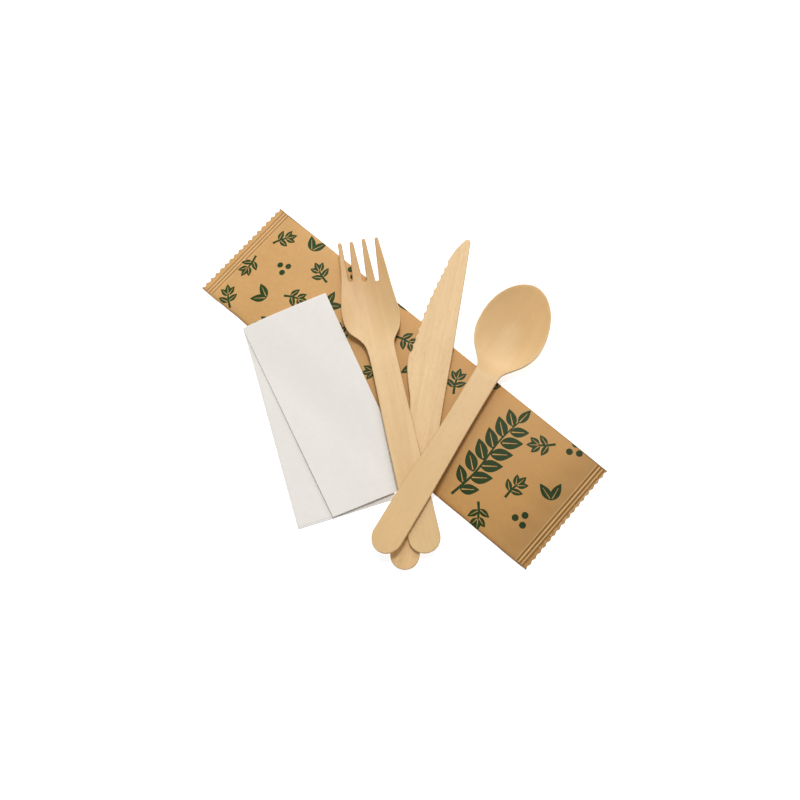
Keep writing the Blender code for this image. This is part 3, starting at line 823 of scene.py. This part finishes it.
        # In the seal's grooves: darker, partly burnished paper and partly painted shade, stronger at the right end.
        pressed_and_shade.append(max((0.75 if u > 0 else 0.42) * (1 - smoothstep(0.08, 0.45, near)), fold))
        # On the seal's ridges: paler, partly worn paper and partly a painted highlight, stronger at the right end.
        band = smoothstep(lines[0] - 1.1, lines[0] - 0.6, from_end) * (1 - smoothstep(lines[-1] + 0.7, lines[-1] + 1.1, from_end))
        ridge_wear_and_highlight_values.append((1.0 if u > 0 else 0.4) * smoothstep(0.4, 0.7, near) * (1 - smoothstep(0.78, 1.0, near)) * band)
    keep_mark(obj.data, "pressed_and_shade", pressed_and_shade)
    keep_mark(obj.data, "ridge_wear_and_highlight", ridge_wear_and_highlight_values)
    return obj


# Napkin

LAYERS = 4
LAYER_THICK = 0.1


def napkin(material):
    """One sheet, folded in half and in half again along its length, and then folded over across its middle. s runs across the flat sheet
    from one cut edge to the other, through the four layers of the packet. The rows run along it, from the cut end of the lower side
    over the fold to the cut end of the upper side."""
    yaw = math.radians(NAPKIN_YAW)
    bend = (PACKET + PACKET_GAP) / 2
    pitch = PACKET / LAYERS
    # Each layer's place in the packet, counted from its outer face, in the order in which the sheet runs through them
    order = [0, 3, 2, 1]
    levels = [(-(LAYERS - 1) / 2 + k) * pitch for k in order]

    across = []
    steps = {0: 32, 3: 32, 1: 14, 2: 14}
    for n, k in enumerate(order):
        count = steps[k]
        start, end = (0.0, 1.0) if n % 2 == 0 else (1.0, 0.0)
        for i in range(count + 1):
            across.append((lerp(start, end, i / count), levels[n], 0.0, n))
        if n < LAYERS - 1:
            middle, radius = (levels[n] + levels[n + 1]) / 2, abs(levels[n + 1] - levels[n]) / 2
            up = 1 if levels[n + 1] > levels[n] else -1
            outwards = 1 if end == 1.0 else -1
            for i in range(1, 6):
                turn = math.pi * i / 6
                across.append((end, middle - up * radius * math.cos(turn), outwards * radius * math.sin(turn), n + i / 6))

    rows = [("lower", i / 84) for i in range(85)] + [("fold", i / 10) for i in range(1, 10)] + [("upper", i / 84) for i in range(84, -1, -1)]

    def corner_point(corners, a, b):
        (x0, y0), (x1, y1), (x2, y2), (x3, y3) = corners
        return lerp(lerp(x0, x1, a), lerp(x3, x2, a), b), lerp(lerp(y0, y1, a), lerp(y3, y2, a), b)

    def place(a, level, beyond, n, side, b):
        corners = NAPKIN_LOWER if side == "lower" else NAPKIN_UPPER
        # The cut ends of the layers don't quite line up.
        ragged = (0.0, 1.05, 0.15, 0.4)[min(int(round(n)), 3)] * (0.8 + 0.2 * math.sin(3.0 * a + n))
        run = 1.0 if side == "fold" else lerp(ragged / 104.0, 1.0, b)
        inset = 0.22
        wide = corner_point(corners, 1.0, run)[0] - corner_point(corners, 0.0, run)[0]
        along = lerp(inset / wide, 1 - inset / wide, a) + beyond / wide
        x, y = corner_point(corners, along, run)
        x_layout = NAPKIN_PLACE[0] + x * math.cos(yaw) - y * math.sin(yaw)
        y_layout = NAPKIN_PLACE[1] + x * math.sin(yaw) + y * math.cos(yaw)
        height = table_height(x_layout, y_layout) + PACKET / 2
        height += 0.05 * (1 + math.sin(x * 0.16 + y * 0.05) * math.sin(y * 0.09 + 1.0)) * smoothstep(0, 0.2, 1 - abs(2 * run - 1))
        if side == "fold":
            turn = math.pi * b
            radius = bend - level
            return x, y + radius * math.sin(turn), height + bend - radius * math.cos(turn)
        if side == "upper":
            loose = 1 - 0.5 * smoothstep(0.6, 0.8, along) - 0.5 * smoothstep(0.8, 0.95, along)
            free = smoothstep(0.75, 0.0, run) * smoothstep(0.02, 0.5, along) * loose
            # Its left edge stands up too, more and more towards the open end.
            height += (0.25 + 0.6 * smoothstep(0.95, 0.1, run)) * smoothstep(1.0, 0.93, run) * (1 - smoothstep(0.0, 0.4, along))
            edge = lerp(NAPKIN_LOWER[1][0], NAPKIN_LOWER[2][0], run)
            height += 2 * bend * (1 - smoothstep(0.0, 11.0, x - edge)) + NAPKIN_LIFT * free
            # The layers spread a little at the open end.
            return x, y, height - level * (1 + 0.5 * free)
        return x, y, height + level

    verts, faces = [], []
    wide = len(across)
    for side, b in rows:
        for a, level, beyond, n in across:
            verts.append(Vector(place(a, level, beyond, n, side, b)) * MM)
    for r in range(len(rows) - 1):
        for c in range(wide - 1):
            i = r * wide + c
            faces.append((i, i + 1, i + wide + 1, i + wide))
    where = placing(NAPKIN_PLACE, 0.0, NAPKIN_YAW)
    obj = mesh_object("folded_napkin", verts, faces, where)
    thick = obj.modifiers.new("thickness", "SOLIDIFY")
    thick.thickness, thick.offset = LAYER_THICK * MM, 0.0
    bpy.context.view_layer.update()
    solid = bpy.data.meshes.new_from_object(obj.evaluated_get(bpy.context.evaluated_depsgraph_get()))
    obj.modifiers.clear()
    obj.data = solid
    back_to_piece = where.inverted()
    keep_grain(solid, [tuple(back_to_piece @ v.co) for v in solid.vertices])
    solid.shade_smooth()
    solid.set_sharp_from_angle(angle=math.radians(48))
    solid.materials.append(material)
    return obj


# The set

KRAFT, KRAFT_PALE, KRAFT_DARK = (0.583, 0.322, 0.109), (0.7, 0.45, 0.2), (0.42, 0.205, 0.06)
sachet_piece = sachet(
    paper("kraft_paper", KRAFT, KRAFT_PALE, KRAFT_DARK),
    paper("kraft_print", KRAFT, KRAFT_PALE, KRAFT_DARK, ink=(0.007, 0.043, 0.006)),
)
napkin_piece = napkin(tissue())

# Colour along each piece, partly the wood's own tone and partly painted light and shade: darker at the handle ends, the
# fork's tines and the spoon bowl's far wall, paler at the necks and the bowl's near wall.
KNIFE_TONE_AND_SHADE = [(8, (0.955, 0.935, 0.87)), (38, (1.01, 1.025, 1.065)), (110, (1.045, 1.09, 1.155))]
SPOON_TONE_AND_SHADE = [(8, (0.98, 0.975, 0.955)), (40, (0.965, 0.965, 0.94)), (90, (0.99, 1.01, 1.06))]
SPOON_TONE_AND_SHADE += [(101, (1.05, 1.08, 1.14)), (114, (1.0, 1.0, 0.99)), (134, (1.01, 0.96, 0.89))]
FORK_TONE_AND_SHADE = [(8, (0.97, 0.98, 0.95)), (32, (1.025, 1.045, 1.08)), (97, (1.1, 1.15, 1.27))]
FORK_TONE_AND_SHADE += [(112, (1.0, 1.01, 1.03)), (128, (0.975, 0.93, 0.9)), (140, (0.89, 0.8, 0.68))]

knife_piece = veneer("knife_veneer", knife_outline(), flat_surface, placing(KNIFE_PLACE, KNIFE_HEIGHT, KNIFE_YAW, KNIFE_RISE))
knife_piece.data.materials.append(birch("birch_knife", (0.744, 0.495, 0.236), (0.688, 0.44, 0.198), 1.0, tone_and_shade=KNIFE_TONE_AND_SHADE))
fork_piece = veneer("fork_veneer", fork_outline(), fork_surface, placing(FORK_PLACE, FORK_HEIGHT, FORK_YAW, FORK_RISE))
fork_piece.data.materials.append(birch("birch_fork", (0.705, 0.468, 0.217), (0.662, 0.418, 0.183), 2.0, 0.6, FORK_TONE_AND_SHADE))
spoon_piece = veneer("spoon_veneer", spoon_outline(), spoon_surface, placing(SPOON_PLACE, SPOON_HEIGHT, SPOON_YAW, SPOON_RISE))
# Painted light and shade of the bowl, read by the spoon's finish: -1 at its bottom, rising to 1 on its walls.
spoon_bowl_tone_and_shade = []
for vertex in spoon_piece.data.attributes["grain"].data:
    x, y = vertex.vector[0] / MM, vertex.vector[1] / MM
    ahead = y - BOWL_CENTRE
    radius = math.hypot((x - bowl_lean(y)) / BOWL_HALF_WIDTH, ahead / (BOWL_TO_TIP if ahead > 0 else BOWL_TO_NECK))
    spoon_bowl_tone_and_shade.append((2 * smoothstep(0.25, 0.85, radius) - 1) * smoothstep(95, 102, y))
keep_mark(spoon_piece.data, "bowl_tone_and_shade", spoon_bowl_tone_and_shade)
spoon_piece.data.materials.append(birch("birch_spoon", (0.692, 0.451, 0.203), (0.677, 0.433, 0.193), 3.0, 0.3, SPOON_TONE_AND_SHADE))

for piece, node, slot in (
    (sachet_piece, "kraft_sachet", "kraft_paper"),
    (napkin_piece, "napkin", "tissue_paper"),
    (knife_piece, "knife", "birch_knife"),
    (fork_piece, "fork", "birch_fork"),
    (spoon_piece, "spoon", "birch_spoon"),
):
    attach(piece, "root")
    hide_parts(node)


# Floor, light and camera

floor_mesh = bpy.data.meshes.new("floor")
floor_mesh.from_pydata([(-3, -3, 0), (3, -3, 0), (3, 3, 0), (-3, 3, 0)], [], [(0, 1, 2, 3)])
floor = bpy.data.objects.new("floor", floor_mesh)
floor.location.z = -0.00002
bpy.context.scene.collection.objects.link(floor)
white = Finish("floor", 0.9, 0.0)
white.shader.inputs["Base Color"].default_value = (0.87, 0.92, 0.97, 1.0)
white.shader.inputs["Emission Color"].default_value = (0.955, 0.995, 1.05, 1.0)
white.shader.inputs["Emission Strength"].default_value = 0.58
floor_mesh.materials.append(white.material)

scene = bpy.context.scene
scene.view_settings.view_transform = "Standard"
scene.view_settings.look = "None"

world = bpy.data.worlds.new("studio")
world.use_nodes = True
world.node_tree.nodes["Background"].inputs["Color"].default_value = (1.0, 1.0, 1.0, 1.0)
world.node_tree.nodes["Background"].inputs["Strength"].default_value = 0.42
scene.world = world


def area_light(name, place, target, size, power, colour=(1, 1, 1)):
    data = bpy.data.lights.new(name, "AREA")
    data.shape, data.size, data.energy, data.color = "DISK", size, power, colour
    light = bpy.data.objects.new(name, data)
    light.location = place
    light.rotation_euler = (Vector(place) - Vector(target)).to_track_quat("Z", "Y").to_euler()
    bpy.context.scene.collection.objects.link(light)


area_light("key", (0.314, 0.967, 2.284), (0, 0, 0), 0.65, 33.0)
area_light("back", (0.211, 2.011, 1.469), (0, 0, 0), 1.2, 13.5)

TILT, AZIMUTH, DISTANCE = math.radians(18.3162), math.radians(24.3827), 0.374387
c, s = math.cos(TILT), math.sin(TILT)
ca, sa = math.cos(AZIMUTH), math.sin(AZIMUTH)
back = Vector((s * sa, -s * ca, c))
flat_right, flat_up = Vector((ca, sa, 0.0)), Vector((-c * sa, c * ca, s))
right, up = ca * flat_right - sa * flat_up, sa * flat_right + ca * flat_up
look_at = Vector((-CENTRE[0] * MM, -CENTRE[1] * MM, 0.0))
camera_data = bpy.data.cameras.new("camera")
camera_data.lens, camera_data.sensor_width = 36.0, 36.0
camera_data.clip_start, camera_data.clip_end = 0.01, 20.0
camera = bpy.data.objects.new("camera", camera_data)
camera.matrix_world = Matrix.Translation(look_at + DISTANCE * back) @ Matrix((right, up, back)).transposed().to_4x4()
scene.collection.objects.link(camera)
scene.camera = camera
